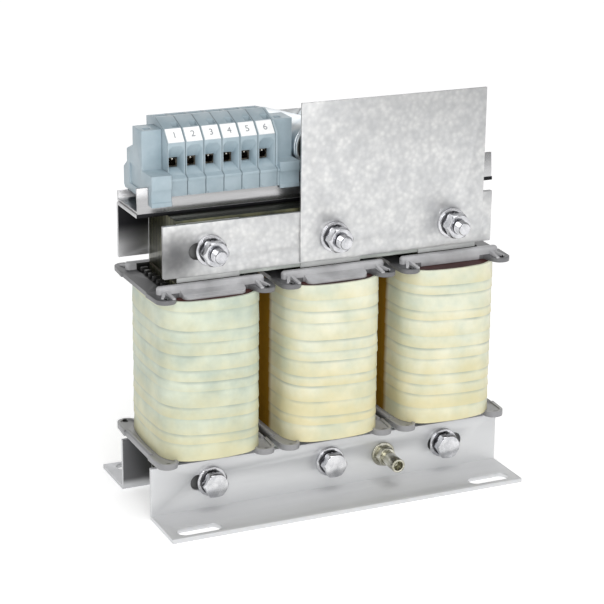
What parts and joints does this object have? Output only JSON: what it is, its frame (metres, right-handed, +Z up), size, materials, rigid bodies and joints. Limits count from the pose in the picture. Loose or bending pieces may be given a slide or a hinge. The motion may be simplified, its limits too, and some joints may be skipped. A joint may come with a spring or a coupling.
{
  "type": "sine wave filter",
  "caption": "Open sine wave filter: a wound laminated choke on slotted foot angles, with a screw terminal row and capacitor cans behind a cover plate on top.",
  "frame": {"origin": "on the floor, midway between the four foot slots", "axes": "+X along the core from the terminals to the cover plate, -Y towards the front with the clamp plate, +Z up"},
  "size_m": [0.2146, 0.1483, 0.226],
  "materials": {
    "galvanised_sheet": "mottled zinc",
    "foot_steel": "satin zinc",
    "bright_sheet": "rolled, bright",
    "core_varnish": "varnished laminations",
    "spacer_board": "pressed board",
    "packing_grey": "smooth light grey",
    "former_grey": "moulded, satin",
    "winding_copper": "enamelled wire",
    "glass_tape": "woven glass tape, resin soaked",
    "terminal_blue_grey": "moulded, satin",
    "marker_white": "smooth",
    "clamp_metal": "plated",
    "can_aluminium": "drawn, bright",
    "disc_black": "moulded",
    "tab_tin": "tinned",
    "bolt_zinc": "zinc plated",
    "earth_yellow": "yellow chromated"
  },
  "bodies": {
    "root": {"capacitor_1": "can_aluminium", "capacitor_2": "can_aluminium", "capacitor_3": "can_aluminium", "capacitor_discs": "disc_black", "capacitor_nuts": "bolt_zinc", "capacitor_tabs": "tab_tin", "capacitor_tray": "galvanised_sheet", "capacitor_washers": "bolt_zinc", "clamp_cages": "clamp_metal", "clamp_screws": "clamp_metal", "coil_former_u": "former_grey", "coil_former_v": "former_grey", "coil_former_w": "former_grey", "coil_tape_u": "glass_tape", "coil_tape_v": "glass_tape", "coil_tape_w": "glass_tape", "core_limbs": "core_varnish", "cover_plate": "galvanised_sheet", "earth_nut": "earth_yellow", "earth_stud": "earth_yellow", "earth_washer": "earth_yellow", "end_bracket_left": "terminal_blue_grey", "end_bracket_right": "terminal_blue_grey", "front_clamp_plate": "galvanised_sheet", "front_foot_bracket": "foot_steel", "gap_spacers": "spacer_board", "lower_bolts": "bolt_zinc", "lower_nuts": "bolt_zinc", "lower_packing_strips": "packing_grey", "lower_spring_washers": "bolt_zinc", "lower_washers": "bolt_zinc", "lower_yoke": "core_varnish", "marker_tags": "marker_white", "rail_screws": "bolt_zinc", "rear_foot_bracket": "foot_steel", "shelf_bracket": "bright_sheet", "terminal_end_plate": "terminal_blue_grey", "terminal_housing_1": "terminal_blue_grey", "terminal_housing_2": "terminal_blue_grey", "terminal_housing_3": "terminal_blue_grey", "terminal_housing_4": "terminal_blue_grey", "terminal_housing_5": "terminal_blue_grey", "terminal_housing_6": "terminal_blue_grey", "terminal_rail": "bright_sheet", "upper_bolts": "bolt_zinc", "upper_nuts": "bolt_zinc", "upper_packing_strips": "packing_grey", "upper_spring_washers": "bolt_zinc", "upper_washers": "bolt_zinc", "upper_yoke": "core_varnish", "winding_u": "winding_copper", "winding_v": "winding_copper", "winding_w": "winding_copper"}
  },
  "joints": []
}
